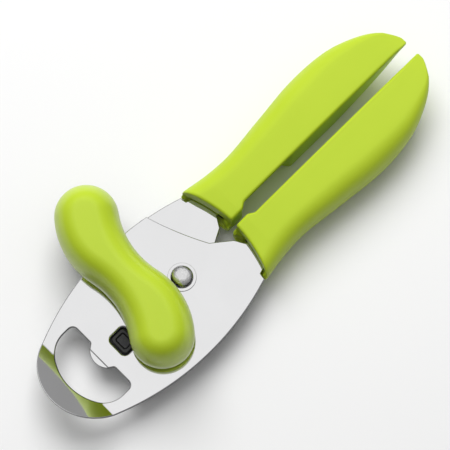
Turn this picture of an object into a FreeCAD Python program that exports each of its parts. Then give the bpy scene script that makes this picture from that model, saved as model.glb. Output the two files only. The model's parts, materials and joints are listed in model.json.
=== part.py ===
import FreeCAD, Part
import math
import os
import re

import Sketcher

# A pliers-type can opener. Two steel plates cross at a rivet. The front plate carries the bottle
# opening, the lid magnet and the turning knob's shaft; the rear plate carries the cutting wheel.
# Squeezing the grips swings the cutting wheel against the toothed feed wheel.
# Drawing frame: the pivot rivet's axis is x = y = 0 and the front plate's top face is z = 0, with
# +X towards the grips. Every piece is placed through ORIGIN, which puts the row's origin under the
# middle of the box.

SIZES = [
    # plates
    ("plate_thick", 2.0), ("plate_gap", 0.4), ("plate_half_width", 29.3), ("widest_back", 12.7),
    ("side_radius", 116.0), ("nose_radius", 22.0),
    ("crease_reach", 56.5), ("tip_rise", 31.5), ("tip_length", 24.0), ("bend_radius", 3.0),
    ("rear_edge_top", 7.2), ("rear_edge_mid", 11.3), ("rear_edge_mid_side", 15.6),
    ("rear_edge_low", 17.5), ("rear_edge_low_side", 2.2), ("tang_inner", 8.2), ("tang_outer", 18.6),
    ("tang_end", 63.0), ("neck_start", 22.7), ("shoulder_run", 0.5), ("shoulder_drop", 2.6),
    ("neck_run", 6.0), ("seat_run", 0.6), ("seat_back", 2.0), ("seat_side", 3.9),
    ("boss_radius", 13.0), ("arm_radius", 7.0), ("wing_seat_x", 19.6), ("wing_seat_side", 0.9),
    ("wing_foot_x", 10.0), ("wing_foot_side", 6.0), ("stop_gap", 0.3), ("spare", 1.0),
    # bottle opening
    ("cap_half_width", 17.0), ("cap_far", 62.0), ("cap_near", 44.0), ("cap_arc_radius", 22.0),
    ("cap_corner", 11.0), ("lip_half_width", 5.2), ("lip_root", 46.2), ("lip_reach", 2.2),
    ("lip_drop", 0.8), ("lip_flare", 1.6), ("lip_overlap", 0.3), ("cap_near_corner", 2.4),
    # lid magnet
    ("magnet_back", 34.2), ("magnet_side", -2.0), ("window_length", 8.8), ("window_width", 7.4),
    ("holder_fit", 0.1), ("holder_flange", 1.2), ("flange_thick", 1.2),
    ("magnet_wall", 1.6), ("magnet_depth", 8.5), ("magnet_sink", 0.7), ("holder_sink", 0.3),
    # pivot
    ("pivot_radius", 3.0), ("run_gap", 0.05), ("head_radius", 4.6), ("head_height", 2.2),
    ("ring_radius", 5.8), ("ring_thick", 0.5), ("spacer_radius", 9.0), ("tail_height", 1.5),
    # turning knob and its shaft
    ("shaft_back", 16.8), ("shaft_side", 15.0), ("shaft_radius", 3.0), ("square_side", 4.4),
    ("bushing_wall", 1.5), ("bushing_flange", 6.4), ("bushing_rise", 1.0), ("seat_gap", 0.03),
    ("bushing_drop", 0.2), ("shaft_short", 1.0), ("knob_clear", 4.6), ("knob_height", 19.0),
    ("lobe_distance", 27.8), ("lobe_radius", 12.8),
    ("flank_radius", 32.0), ("waist_radius", 35.0), ("flank_angle", 61.5), ("knob_angle", 77.8),
    ("crown_inset", 9.5), ("crown_rise", 13.5), ("knob_wall", 2.6), ("cover_ledge", 1.0),
    ("knob_roof", 6.0), ("cover_thick", 2.0), ("hub_radius", 6.0), ("knob_washer_thick", 0.8),
    ("knob_foot", 1.0),
    # feed wheel
    ("feed_radius", 6.5), ("feed_thick", 4.0), ("teeth", 20.0), ("tooth_depth", 0.9),
    ("tooth_spread", 0.16), ("thread_radius", 2.4), ("spring_washer_thick", 0.35),
    ("nut_flats", 8.0), ("nut_thick", 2.6),
    # cutting wheel
    ("cutter_radius", 10.0), ("cutter_back", 20.5), ("wheel_apart", 0.1), ("cutter_hub", 5.0),
    ("axle_radius", 2.5), ("axle_seat_radius", 2.0), ("axle_head", 4.4), ("cutter_thick", 5.4),
    ("cutter_washer_thick", 0.5), ("cutter_washer_radius", 5.5), ("head_chamfer", 0.8),
    ("bevel_rise", 1.8), ("edge_up", 0.7), ("cutter_face", 7.5),
    # grips
    ("grip_mouth", 20.0), ("grip_end", 131.3), ("grip_half_width", 26.0), ("grip_inner", 3.0),
    ("grip_top", 9.5), ("grip_bottom", 12.5), ("grip_wall", 1.7), ("tang_cover", 4.2),
    ("inner_corner", 1.2), ("mouth_inner_x", 27.2), ("mouth_outer_x", 22.6), ("pad_face", 1.3),
    ("pad_end", 35.5), ("pad_drop", 7.0), ("pad_rise", 8.0), ("pad_root", 2.0), ("brow_inner_x", 29.2),
    ("brow_middle_x", 27.5), ("brow_outer_x", 23.0), ("mouth_cut", 5.0), ("recess_end", 65.0),
    ("recess_deep", 3.6), ("recess_lip", 1.8), ("core_setback", 3.0), ("core_up", 0.9), ("core_down", 7.0),
    ("pin_radius", 1.6), ("pin_short", 0.4), ("pin_first", 42.0), ("pin_apart", 14.0),
    ("open_limit", 37.0), ("rest_flat", 0.25),
]

# A grip's cross-sections from its mouth to its end: how far along, and the width, underside and
# top there as shares of the largest ones.
GRIP_STATIONS = [
    (0.000, 0.955, 0.70, 0.80), (0.135, 0.865, 0.78, 0.90), (0.250, 0.838, 0.86, 0.97),
    (0.413, 0.915, 0.97, 1.00), (0.611, 1.000, 1.00, 1.00), (0.773, 0.946, 0.64, 0.98),
    (0.889, 0.757, 0.16, 0.94), (0.961, 0.520, -0.36, 0.88), (1.000, 0.250, -0.45, 0.80),
]
CAVITY_STATIONS = 4          # the grip's core reaches the fourth station
GRIP_CORNER = 0.42           # roundness of a grip, as a share of its lesser side
CORE_CORNER = 0.15           # roundness of its core
PINS = 2                     # pins in each grip
CROWN_STEPS = 5              # flats that make up the knob's rounded crown
CROWN_LEAN = 80              # degrees round the crown's quarter oval, short of its flat top
# The corners of the pivot rivet's domed head, as shares of its radius and height.
DOME = [(0.94, 0.38), (0.74, 0.62), (0.40, 0.92), (0.00, 1.00)]

doc = FreeCAD.newDocument("can_opener")
sheet = doc.addObject("Spreadsheet::Sheet", "sizes")
for row, (alias, value) in enumerate(SIZES, start=1):
    sheet.set("A%d" % row, alias)
    sheet.set("B%d" % row, str(value))
    sheet.setAlias("B%d" % row, alias)
doc.recompute()

ALIASES = re.compile(r"\b(%s)\b" % "|".join(alias for alias, value in SIZES))


def bound(expression):
    """An expression on sheet names, as other objects have to write it."""
    return ALIASES.sub(r"sizes.\1", expression)


def num(expression):
    """The number that an expression on sheet names gives."""
    return float(sheet.evalExpression(expression))


# Levels, downwards from the front plate's top face.
REAR_TOP = "-(plate_thick + plate_gap)"
REAR_BOTTOM = "-(2 * plate_thick + plate_gap)"
BUSHING_BOTTOM = "-(2 * plate_thick + plate_gap + bushing_drop)"
FEED_TOP = "(%s - run_gap - spring_washer_thick)" % BUSHING_BOTTOM
FEED_BOTTOM = "(%s - feed_thick)" % FEED_TOP
HUB_TOP = "(%s - cutter_washer_thick - run_gap)" % REAR_BOTTOM
CUTTER_BOTTOM = "(%s - cutter_thick)" % HUB_TOP
EDGE_LEVEL = "(%s + edge_up)" % CUTTER_BOTTOM
RING_BOTTOM = "(%s - ring_thick)" % REAR_BOTTOM
LOWEST = "(rest_flat - grip_bottom)"
KNOB_TOP = "(knob_clear + knob_height)"

# Places in plan.
PIVOT = ("0", "0")
SHAFT = ("-shaft_back", "shaft_side")
WHEEL_SPREAD = "(feed_radius + cutter_radius + wheel_apart)"
CUTTER = ("-cutter_back",
          "shaft_side - sqrt(%s^2 - (cutter_back - shaft_back)^2)" % WHEEL_SPREAD)

# The row's origin is under the middle of the box: half the reach to the grips' end less half the
# reach to the tip, and the same across, from the knob's far lobe to the front plate's edge.
NOSE_BACK = ("(widest_back + sqrt((side_radius - nose_radius)^2"
             " - (side_radius - plate_half_width)^2))")
TIP_REACH = "(%s + nose_radius)" % NOSE_BACK
KNOB_FAR = "(shaft_side + lobe_distance * sin(knob_angle * 1deg) + lobe_radius)"
ORIGIN = ("(%s - grip_end) / 2" % TIP_REACH, "(plate_half_width - %s) / 2" % KNOB_FAR,
          "grip_bottom - rest_flat")


def vec(x, y, z=0.0):
    return FreeCAD.Vector(x, y, z)


class Piece:
    """One sub-part: a body, the sketches it is made from and its place in the row's frame."""

    def __init__(self, label, place=PIVOT, turn=None):
        self.body = doc.addObject("PartDesign::Body", label)
        self.body.Label = label
        for axis, offset, start in zip("xyz", place + ("0",), ORIGIN):
            self.body.setExpression("Placement.Base." + axis, bound("%s + %s" % (start, offset)))
        if turn:
            self.body.Placement.Rotation = FreeCAD.Rotation(vec(0, 0, 1), num(turn))

    def sketch(self, role="XY_Plane", height="0"):
        sketch = self.body.newObject("Sketcher::SketchObject", "Sketch")
        plane = [part for part in self.body.Origin.OriginFeatures if part.Role == role][0]
        sketch.AttachmentSupport = [(plane, "")]
        sketch.MapMode = "FlatFace"
        sketch.setExpression("AttachmentOffset.Base.z", bound(height))
        return sketch

    def polygon(self, points, role="XY_Plane", height="0"):
        """A closed outline of straight sides. Every corner's place is bound to the sheet."""
        sketch = self.sketch(role, height)
        corners = [vec(num(x), num(y)) for x, y in points]
        for index, corner in enumerate(corners):
            sketch.addGeometry(Part.LineSegment(corner, corners[(index + 1) % len(corners)]))
        for index, place in enumerate(points):
            sketch.addConstraint(Sketcher.Constraint(
                "Coincident", index, 2, (index + 1) % len(points), 1))
            for kind, expression in zip(("DistanceX", "DistanceY"), place):
                name = "%s_%d" % (kind, index)
                made = sketch.addConstraint(
                    Sketcher.Constraint(kind, -1, 1, index, 1, num(expression)))
                sketch.renameConstraint(made, name)
                sketch.setExpression(".Constraints." + name, bound(expression))
        return sketch

    def circles(self, circles, role="XY_Plane", height="0"):
        """Circles with bound centres and radii."""
        sketch = self.sketch(role, height)
        for index, (x, y, radius) in enumerate(circles):
            sketch.addGeometry(Part.Circle(vec(num(x), num(y)), vec(0, 0, 1), num(radius)))
            values = (("DistanceX", (-1, 1, index, 3), x), ("DistanceY", (-1, 1, index, 3), y),
                      ("Radius", (index,), radius))
            for kind, ends, expression in values:
                name = "%s_%d" % (kind, index)
                made = sketch.addConstraint(Sketcher.Constraint(kind, *ends, num(expression)))
                sketch.renameConstraint(made, name)
                sketch.setExpression(".Constraints." + name, bound(expression))
        return sketch

    def outline(self, loops, role="XY_Plane", height="0"):
        """Closed loops of lines (2 points) and arcs (3 points), worked out from the sheet."""
        sketch = self.sketch(role, height)
        for loop in loops:
            for points in loop:
                make = Part.LineSegment if len(points) == 2 else Part.Arc
                sketch.addGeometry(make(*[vec(x, y) for x, y in points]))
        return sketch

    def feature(self, kind, profile, **settings):
        made = self.body.newObject("PartDesign::" + kind, kind)
        made.Profile = profile
        for name, value in settings.items():
            setattr(made, name, value)
        return made

    def pad(self, profile, length, **settings):
        made = self.feature("Pad", profile, **settings)
        made.setExpression("Length", bound(length))
        doc.recompute()

    def pocket(self, profile, length, **settings):
        """Cuts upwards, along the sketch's normal, and has to take something away."""
        before = self.body.Shape.Volume
        made = self.feature("Pocket", profile, Reversed=True, **settings)
        made.setExpression("Length", bound(length))
        doc.recompute()
        if not self.body.Shape.Volume < before - 1e-3:
            raise ValueError("a pocket in %s cuts nothing" % self.body.Label)
        return made

    def turned(self, points):
        """A solid of revolution about the piece's own Z axis, from (radius, height) corners."""
        profile = self.polygon(points, "XZ_Plane")
        made = self.feature("Revolution", profile, Angle=360.0)
        made.ReferenceAxis = (profile, ["V_Axis"])
        doc.recompute()

    def loft(self, kind, sections, **settings):
        self.feature(kind, sections[0], Sections=sections[1:], **settings)
        doc.recompute()


def on_arc(centre, radius, degrees):
    angle = math.radians(degrees)
    return (centre[0] + radius * math.cos(angle), centre[1] + radius * math.sin(angle))


def mirrored(points):
    return [(x, -y) for x, y in points]


def ring(label, place, inner, outer, bottom, top):
    """A plain washer or bushing."""
    Piece(label, place).turned([(inner, bottom), (outer, bottom), (outer, top), (inner, top)])


# ---- outlines that both plates share ------------------------------------------------------------

def side_arc_y(x):
    """Half the plates' width at a station x along them."""
    run = x + num("widest_back")
    return num("plate_half_width - side_radius") + math.sqrt(num("side_radius") ** 2 - run ** 2)


def neck_points(side):
    """Where a plate narrows into its grip, from its outer edge to the tang and back to the seat."""
    start, inner, outer = num("neck_start"), num("tang_inner"), num("tang_outer")
    mouth, end = num("mouth_inner_x"), num("tang_end")
    points = [(start, side_arc_y(start)),
              (start + num("shoulder_run"), side_arc_y(start) - num("shoulder_drop")),
              (mouth + num("neck_run"), outer), (end, outer), (end, inner),
              (mouth + num("seat_run"), inner), (mouth - num("seat_back"), num("seat_side"))]
    return points if side > 0 else mirrored(points)


def pin_places(side):
    """Where the tang pins stand in the +Y grip (side 1) or the -Y grip (side -1)."""
    across = "%s(tang_inner + tang_outer) / 2" % ("" if side > 0 else "-")
    return [("pin_first + %d * pin_apart" % index, across) for index in range(PINS)]


def pin_holes(side):
    return [place + ("pin_radius + seat_gap",) for place in pin_places(side)]


def lines_through(points):
    return [(first, second) for first, second in zip(points, points[1:])]


def front_outline():
    """The front plate in plan, as loops of lines and arcs."""
    nose, nose_centre = num("nose_radius"), (-num(NOSE_BACK), 0.0)
    lean = math.degrees(math.asin(num("(%s - widest_back) / (side_radius - nose_radius)" % NOSE_BACK)))
    join = on_arc(nose_centre, nose, 90 + lean)
    middle_x = (join[0] + num("rear_edge_top")) / 2
    top = (num("rear_edge_top"), side_arc_y(num("rear_edge_top")))
    neck = neck_points(-1)
    low_x = (join[0] + neck[0][0]) / 2
    edge_mid = (num("rear_edge_mid"), num("rear_edge_mid_side"))
    edge_low = (num("rear_edge_low"), num("rear_edge_low_side"))
    return [[
        (top, (middle_x, side_arc_y(middle_x)), join),
        (join, (nose_centre[0] - nose, 0.0), (join[0], -join[1])),
        ((join[0], -join[1]), (low_x, -side_arc_y(low_x)), neck[0]),
        *lines_through(neck),
        (neck[-1], edge_low),
        (edge_low, edge_mid, top),
    ]]


def frame_around(loops):
    """Everything outside the loops, as a loop pair that a pocket can cut away."""
    far = 2 * num("grip_end")
    corners = [(-far, -far), (far, -far), (far, far), (-far, far), (-far, -far)]
    return [lines_through(corners)] + loops


def cap_outline():
    """The bottle opening, with the root of its lip, as one loop of lines and arcs."""
    half, far, near = num("cap_half_width"), -num("cap_far"), -num("cap_near")
    arc, corner, small = num("cap_arc_radius"), num("cap_corner"), num("cap_near_corner")
    lip, root, flare = num("lip_half_width"), -num("lip_root"), num("lip_flare")
    centre_y = half - corner
    run = math.sqrt((arc - corner) ** 2 - centre_y ** 2)
    arc_centre = (far + arc, 0.0)
    corner_centre = (arc_centre[0] - run, centre_y)
    lean = math.degrees(math.atan2(centre_y, -run))
    join = on_arc(arc_centre, arc, lean)
    upper = [
        (join, on_arc(corner_centre, corner, (lean + 90) / 2), (corner_centre[0], half)),
        ((corner_centre[0], half), (near - small, half)),
        ((near - small, half), on_arc((near - small, half - small), small, 45),
         (near, half - small)),
        ((near, half - small), (near, lip + flare)),
        ((near, lip + flare), (root, lip)),
    ]
    lower = [tuple(mirrored(points)) for points in upper]
    return [upper + lower + [((root, lip), (root, -lip)), (join, (far, 0.0), (join[0], -join[1]))]]


# ---- plates -------------------------------------------------------------------------------------

def front_plate():
    """Bent side profile, cut to the plan outline, with its holes and lip."""
    piece = Piece("front_plate")
    thick, bend, rise = num("plate_thick"), num("bend_radius"), num("tip_rise")
    crease = -num("crease_reach")
    centre = (crease, bend)

    def bent(radius, share):
        return on_arc(centre, radius, -90 - rise * share)

    tip_run = on_arc((0, 0), num("tip_length"), 180 - rise)
    inner, outer = bent(bend, 1), bent(bend + thick, 1)
    inner_tip = (inner[0] + tip_run[0], inner[1] + tip_run[1])
    outer_tip = (outer[0] + tip_run[0], outer[1] + tip_run[1])
    end = num("tang_end + spare")
    profile = piece.outline([[
        ((end, 0.0), (crease, 0.0)), ((crease, 0.0), bent(bend, 0.5), inner),
        (inner, inner_tip), (inner_tip, outer_tip), (outer_tip, outer),
        (outer, bent(bend + thick, 0.5), (crease, -thick)), ((crease, -thick), (end, -thick)),
        ((end, -thick), (end, 0.0)),
    ]], "XZ_Plane")
    piece.pad(profile, "3 * plate_half_width", SideType="Symmetric")
    below, through = "-3 * plate_thick", "8 * plate_half_width"
    piece.pocket(piece.outline(frame_around(front_outline()), height=below), through)
    piece.pocket(piece.outline(cap_outline(), height=below), through)
    root, lip, reach = -num("lip_root"), num("lip_half_width"), num("lip_reach")
    joined = root + num("lip_overlap")
    tab = [((joined, lip), (root, lip)), ((root, lip), (root - reach, 0.0), (root, -lip)),
           ((root, -lip), (joined, -lip)), ((joined, -lip), (joined, lip))]
    piece.pad(piece.outline([tab], height="-plate_thick"), "plate_thick - lip_drop")
    window = [("-magnet_back %s window_width / 2" % across, "magnet_side %s window_length / 2" % along)
              for across, along in (("-", "-"), ("+", "-"), ("+", "+"), ("-", "+"))]
    piece.pocket(piece.polygon(window, height=below), through)
    holes = [("0", "0", "pivot_radius + seat_gap"),
             SHAFT + ("shaft_radius + run_gap + bushing_wall + seat_gap",)] + pin_holes(-1)
    piece.pocket(piece.circles(holes, height=below), through)


def rear_plate():
    """A boss at the pivot, an arm that holds the cutting wheel and a wing that enters the grip."""
    piece = Piece("rear_plate")
    piece.pad(piece.circles([("0", "0", "boss_radius")], height=REAR_BOTTOM), "plate_thick")
    wheel = (num(CUTTER[0]), num(CUTTER[1]))
    radius = num("arm_radius")
    lean = math.degrees(math.atan2(wheel[1], wheel[0]))
    near = [on_arc((0, 0), radius, lean + turn) for turn in (90, -90)]
    far = [on_arc(wheel, radius, lean + turn) for turn in (-90, 0, 90)]
    arm = [[(near[0], near[1]), (near[1], far[0]), tuple(far), (far[2], near[0])]]
    piece.pad(piece.outline(arm, height=REAR_BOTTOM), "plate_thick")
    # The wing's front edge stops against the bushing when the grips are fully open.
    shaft = (num(SHAFT[0]), num(SHAFT[1]))
    stop = math.radians(math.degrees(math.atan2(shaft[1], shaft[0])) - num("open_limit"))
    clear = num("shaft_radius + run_gap + bushing_wall + stop_gap")
    along, across = (math.cos(stop), math.sin(stop)), (math.sin(stop), -math.cos(stop))
    centre = (-num("widest_back"), num("plate_half_width - side_radius"))
    base = (clear * across[0] - centre[0], clear * across[1] - centre[1])
    middle = base[0] * along[0] + base[1] * along[1]
    reach = -middle + math.sqrt(middle ** 2 - base[0] ** 2 - base[1] ** 2
                                + num("side_radius") ** 2)
    corner = (clear * across[0] + reach * along[0], clear * across[1] + reach * along[1])
    foot = (clear * across[0], clear * across[1])
    neck = neck_points(1)
    half_way = (corner[0] + neck[0][0]) / 2
    seat = (num("wing_seat_x"), num("wing_seat_side"))
    heel = (num("wing_foot_x"), -num("wing_foot_side"))
    wing = [[(foot, corner), (corner, (half_way, side_arc_y(half_way)), neck[0]),
             *lines_through(neck), (neck[-1], seat), (seat, heel), (heel, foot)]]
    piece.pad(piece.outline(wing, height=REAR_BOTTOM), "plate_thick")
    holes = [("0", "0", "pivot_radius + run_gap"), CUTTER + ("axle_seat_radius + seat_gap",)]
    holes += pin_holes(1)
    piece.pocket(piece.circles(holes, height=REAR_BOTTOM + " - spare"), "plate_thick + 2 * spare")


# ---- fasteners and wheels -----------------------------------------------------------------------

def pivot_parts():
    dome = [("head_radius * %.2f" % out, "ring_thick + head_height * %.2f" % up) for out, up in DOME]
    Piece("pivot_rivet").turned([
        ("0", RING_BOTTOM + " - tail_height"), ("head_radius", RING_BOTTOM + " - tail_height"),
        ("head_radius", RING_BOTTOM), ("pivot_radius", RING_BOTTOM),
        ("pivot_radius", "ring_thick"), ("head_radius", "ring_thick")] + dome)
    bore = "pivot_radius + seat_gap"
    ring("pivot_washer", PIVOT, bore, "ring_radius", "0", "ring_thick")
    ring("pivot_spacer", PIVOT, bore, "spacer_radius", REAR_TOP + " + seat_gap", "-plate_thick")
    ring("pivot_tail_washer", PIVOT, bore, "ring_radius", RING_BOTTOM, REAR_BOTTOM + " - seat_gap")


def cutter_parts():
    ring("cutter_washer", CUTTER, "axle_radius + seat_gap", "cutter_washer_radius",
         REAR_BOTTOM + " - cutter_washer_thick", REAR_BOTTOM)
    Piece("cutting_wheel", CUTTER).turned([
        ("axle_radius + run_gap", CUTTER_BOTTOM), ("cutter_face", CUTTER_BOTTOM),
        ("cutter_radius", EDGE_LEVEL), ("cutter_hub", EDGE_LEVEL + " + bevel_rise"),
        ("cutter_hub", HUB_TOP), ("axle_radius + run_gap", HUB_TOP)])
    head = CUTTER_BOTTOM + " - run_gap"
    Piece("cutter_axle", CUTTER).turned([
        ("0", LOWEST), ("axle_head - head_chamfer", LOWEST),
        ("axle_head", LOWEST + " + head_chamfer"), ("axle_head", head), ("axle_radius", head),
        ("axle_radius", REAR_BOTTOM), ("axle_seat_radius", REAR_BOTTOM),
        ("axle_seat_radius", REAR_TOP + " - seat_gap"), ("0", REAR_TOP + " - seat_gap")])


def feed_parts():
    bore = "thread_radius + seat_gap"
    ring("feed_spring_washer", SHAFT, bore, "shaft_radius + bushing_wall", FEED_TOP,
         FEED_TOP + " + spring_washer_thick")
    wheel = Piece("feed_wheel", SHAFT)
    wheel.pad(wheel.circles([("0", "0", "feed_radius"), ("0", "0", bore)], height=FEED_BOTTOM),
              "feed_thick")
    past_rim, half_notch = "feed_radius + tooth_depth / 3", "feed_radius * tooth_spread"
    notch = [("feed_radius - tooth_depth", "0"), (past_rim, "-" + half_notch),
             (past_rim, half_notch)]
    cut = wheel.pocket(wheel.polygon(notch, height=FEED_BOTTOM + " - spare"),
                       "feed_thick + 2 * spare")
    teeth = wheel.body.newObject("PartDesign::PolarPattern", "Teeth")
    teeth.Originals = [cut]
    axis = [part for part in wheel.body.Origin.OriginFeatures if part.Role == "Z_Axis"][0]
    teeth.Axis = (axis, [""])
    teeth.Angle = 360
    teeth.setExpression("Occurrences", bound("teeth"))
    wheel.body.Tip = teeth
    nut = Piece("feed_wheel_nut", SHAFT)
    top = FEED_BOTTOM + " - seat_gap"
    across = num("nut_flats / 2") / math.cos(math.radians(30))
    corners = [on_arc((0, 0), across, 60 * turn) for turn in range(7)]
    nut.pad(nut.outline([lines_through(corners)], height=top + " - nut_thick"), "nut_thick")
    nut.pocket(nut.circles([("0", "0", bore)], height=top + " - nut_thick - spare"),
               "nut_thick + 2 * spare")


def shaft_parts():
    hub_bottom = "bushing_rise + knob_washer_thick + run_gap"
    barrel = "shaft_radius + run_gap + bushing_wall"
    inner = "shaft_radius + run_gap"
    Piece("shaft_bushing", SHAFT).turned([
        (inner, BUSHING_BOTTOM), (barrel, BUSHING_BOTTOM), (barrel, "0"), ("bushing_flange", "0"),
        ("bushing_flange", "bushing_rise"), (inner, "bushing_rise")])
    shaft = Piece("drive_shaft", SHAFT, "knob_angle")
    shaft.turned([
        ("0", LOWEST), ("thread_radius", LOWEST),
        ("thread_radius", FEED_TOP + " + spring_washer_thick"),
        ("shaft_radius", FEED_TOP + " + spring_washer_thick"), ("shaft_radius", hub_bottom),
        ("0", hub_bottom)])
    half = "square_side / 2"
    square = [("-" + half, "-" + half), (half, "-" + half), (half, half), ("-" + half, half)]
    roof = "(%s - knob_roof)" % KNOB_TOP
    shaft.pad(shaft.polygon(square, height=hub_bottom),
              "%s - shaft_short - (%s)" % (roof, hub_bottom))
    ring("knob_washer", SHAFT, "shaft_radius + seat_gap", "hub_radius",
         "bushing_rise + run_gap", hub_bottom)
    hub = Piece("knob_hub", SHAFT, "knob_angle")
    hub.pad(hub.circles([("0", "0", "hub_radius")], height=hub_bottom),
            "%s - seat_gap - (%s)" % (roof, hub_bottom))
    gap = "(square_side / 2 + seat_gap)"
    hole = [("-" + gap, "-" + gap), (gap, "-" + gap), (gap, gap), ("-" + gap, gap)]
    hub.pocket(hub.polygon(hole, height=hub_bottom + " - spare"),
               "%s + spare - (%s)" % (roof, hub_bottom))


# ---- knob ---------------------------------------------------------------------------------------

def knob_outline(inset):
    """The knob in plan: two round lobes, each run into the other by a full flank and a waist."""
    lobe, flank = num("lobe_radius") - inset, num("flank_radius") - inset
    waist, reach = num("waist_radius") + inset, num("lobe_distance")
    angle = num("flank_angle")
    first, second = (reach, 0.0), (-reach, 0.0)
    flank_centre = on_arc(first, lobe - flank, angle)
    start = on_arc(first, lobe, angle)
    # The waist's centre is where it touches both the flank and the other lobe from outside.
    to_flank, to_lobe = flank + waist, lobe + waist
    gap = math.dist(flank_centre, second)
    run = (gap ** 2 + to_flank ** 2 - to_lobe ** 2) / (2 * gap)
    off = math.sqrt(to_flank ** 2 - run ** 2)
    along = ((second[0] - flank_centre[0]) / gap, (second[1] - flank_centre[1]) / gap)
    waist_centre = (flank_centre[0] + run * along[0] + off * along[1],
                    flank_centre[1] + run * along[1] - off * along[0])

    def heading(centre, target):
        return math.degrees(math.atan2(target[1] - centre[1], target[0] - centre[0]))

    flank_end = on_arc(flank_centre, flank, heading(flank_centre, waist_centre))
    lobe_start = on_arc(second, lobe, heading(second, waist_centre))
    flank_mid = on_arc(flank_centre, flank, (angle + heading(flank_centre, waist_centre)) / 2)
    span = (heading(waist_centre, flank_end), heading(waist_centre, lobe_start) % 360 - 360)
    waist_mid = on_arc(waist_centre, waist, sum(span) / 2)
    lobe_mid = on_arc(second, lobe, (heading(second, waist_centre) + angle + 180) / 2)
    half = [(start, flank_mid, flank_end), (flank_end, waist_mid, lobe_start),
            (lobe_start, lobe_mid, (-start[0], -start[1]))]
    return [half + [tuple((-x, -y) for x, y in points) for points in half]]


def knob_parts():
    shell = Piece("knob_shell", SHAFT, "knob_angle")
    # Levels from the foot up: a small rounded foot, straight sides, then the crown's quarter oval.
    levels = [("knob_foot", "knob_clear"), ("0", "knob_clear + knob_foot")]
    for step in range(CROWN_STEPS + 1):
        lean = CROWN_LEAN * step / CROWN_STEPS
        levels.append(("crown_inset * (1 - cos(%.1fdeg))" % lean,
                       "%s - crown_rise * (1 - sin(%.1fdeg))" % (KNOB_TOP, lean)))
    sections = [shell.outline(knob_outline(num(inset)), height=height) for inset, height in levels]
    shell.loft("AdditiveLoft", sections, Ruled=True)
    wall = num("knob_wall")
    shell.pocket(shell.outline(knob_outline(wall), height="knob_clear - spare"),
                 "cover_thick + spare")
    shell.pocket(shell.outline(knob_outline(wall + num("cover_ledge")), height="knob_clear - spare"),
                 "knob_height - knob_roof + spare")
    cover = Piece("knob_cover", SHAFT, "knob_angle")
    cover.pad(cover.outline(knob_outline(wall + num("seat_gap")), height="knob_clear"),
              "cover_thick - seat_gap")
    cover.pocket(cover.circles([("0", "0", "hub_radius + seat_gap")], height="knob_clear - spare"),
                 "cover_thick + 2 * spare")


# ---- lid magnet ---------------------------------------------------------------------------------

def magnet_parts():
    place = ("-magnet_back", "magnet_side")

    def rectangle(inset):
        width, length = "(window_width / 2 - %s)" % inset, "(window_length / 2 - %s)" % inset
        return [("-" + width, "-" + length), (width, "-" + length), (width, length),
                ("-" + width, length)]

    holder = Piece("magnet_holder", place)
    holder.pad(holder.polygon(rectangle("holder_fit"), height="-magnet_depth"),
               "magnet_depth - holder_sink")
    flange = "(-plate_thick - seat_gap - flange_thick)"
    holder.pad(holder.polygon(rectangle("(holder_fit - holder_flange)"), height=flange),
               "flange_thick")
    seat = "(holder_fit + magnet_wall)"
    holder.pocket(holder.polygon(rectangle(seat), height="-magnet_depth - spare"),
                  "magnet_depth + 2 * spare")
    magnet = Piece("lid_magnet", place)
    magnet.pad(magnet.polygon(rectangle("(holder_fit + magnet_wall + seat_gap)"),
                              height="-magnet_depth"), "magnet_depth - magnet_sink")


# ---- grips --------------------------------------------------------------------------------------

def grip_section(station, inset=0.0, inner=None, low=None, high=None, corner=GRIP_CORNER):
    """One closed cross-section as lines and arcs, in (across, up), for the +Y grip."""
    share, width, under, over = station
    outer = num("grip_half_width") * width - inset
    left = num("grip_inner") if inner is None else inner
    bottom = -num("grip_bottom") * under if low is None else low
    top = num("grip_top") * over if high is None else high
    big = corner * min(top - bottom, outer - left)
    small = min(num("inner_corner"), 0.5 * big)
    corners = [((left + small, bottom + small), small, 180), ((outer - big, bottom + big), big, 270),
               ((outer - big, top - big), big, 0), ((left + small, top - small), small, 90)]
    loop = []
    for index, (centre, radius, start) in enumerate(corners):
        follow = corners[(index + 1) % 4]
        end = on_arc(centre, radius, start + 90)
        loop.append((on_arc(centre, radius, start), on_arc(centre, radius, start + 45), end))
        loop.append((end, on_arc(follow[0], follow[1], follow[2])))
    return loop


def grip_sections(piece, side, stations, **changes):
    span = num("grip_end - grip_mouth")
    sketches = []
    for index, station in enumerate(stations):
        settings = {name: value[index] if isinstance(value, list) else value
                    for name, value in changes.items()}
        loop = grip_section(station, **settings)
        if side < 0:
            loop = [tuple((-y, z) for y, z in points) for points in loop]
        height = "grip_mouth + %.6f" % (station[0] * span)
        sketches.append(piece.outline([loop], "YZ_Plane", height))
    return sketches


def core_changes(gap, plate_top):
    """The inside of a grip's mouth: wide at the mouth, then close round the tang."""
    mouth = num("pad_face + grip_wall") + gap
    inner = num("grip_inner + tang_cover") + gap
    return {"inset": num("grip_wall") + gap, "inner": [mouth] + [inner] * (CAVITY_STATIONS - 1),
            "low": -num("core_down") + gap, "high": num("%s + core_up" % plate_top) - gap,
            "corner": CORE_CORNER}


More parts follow.
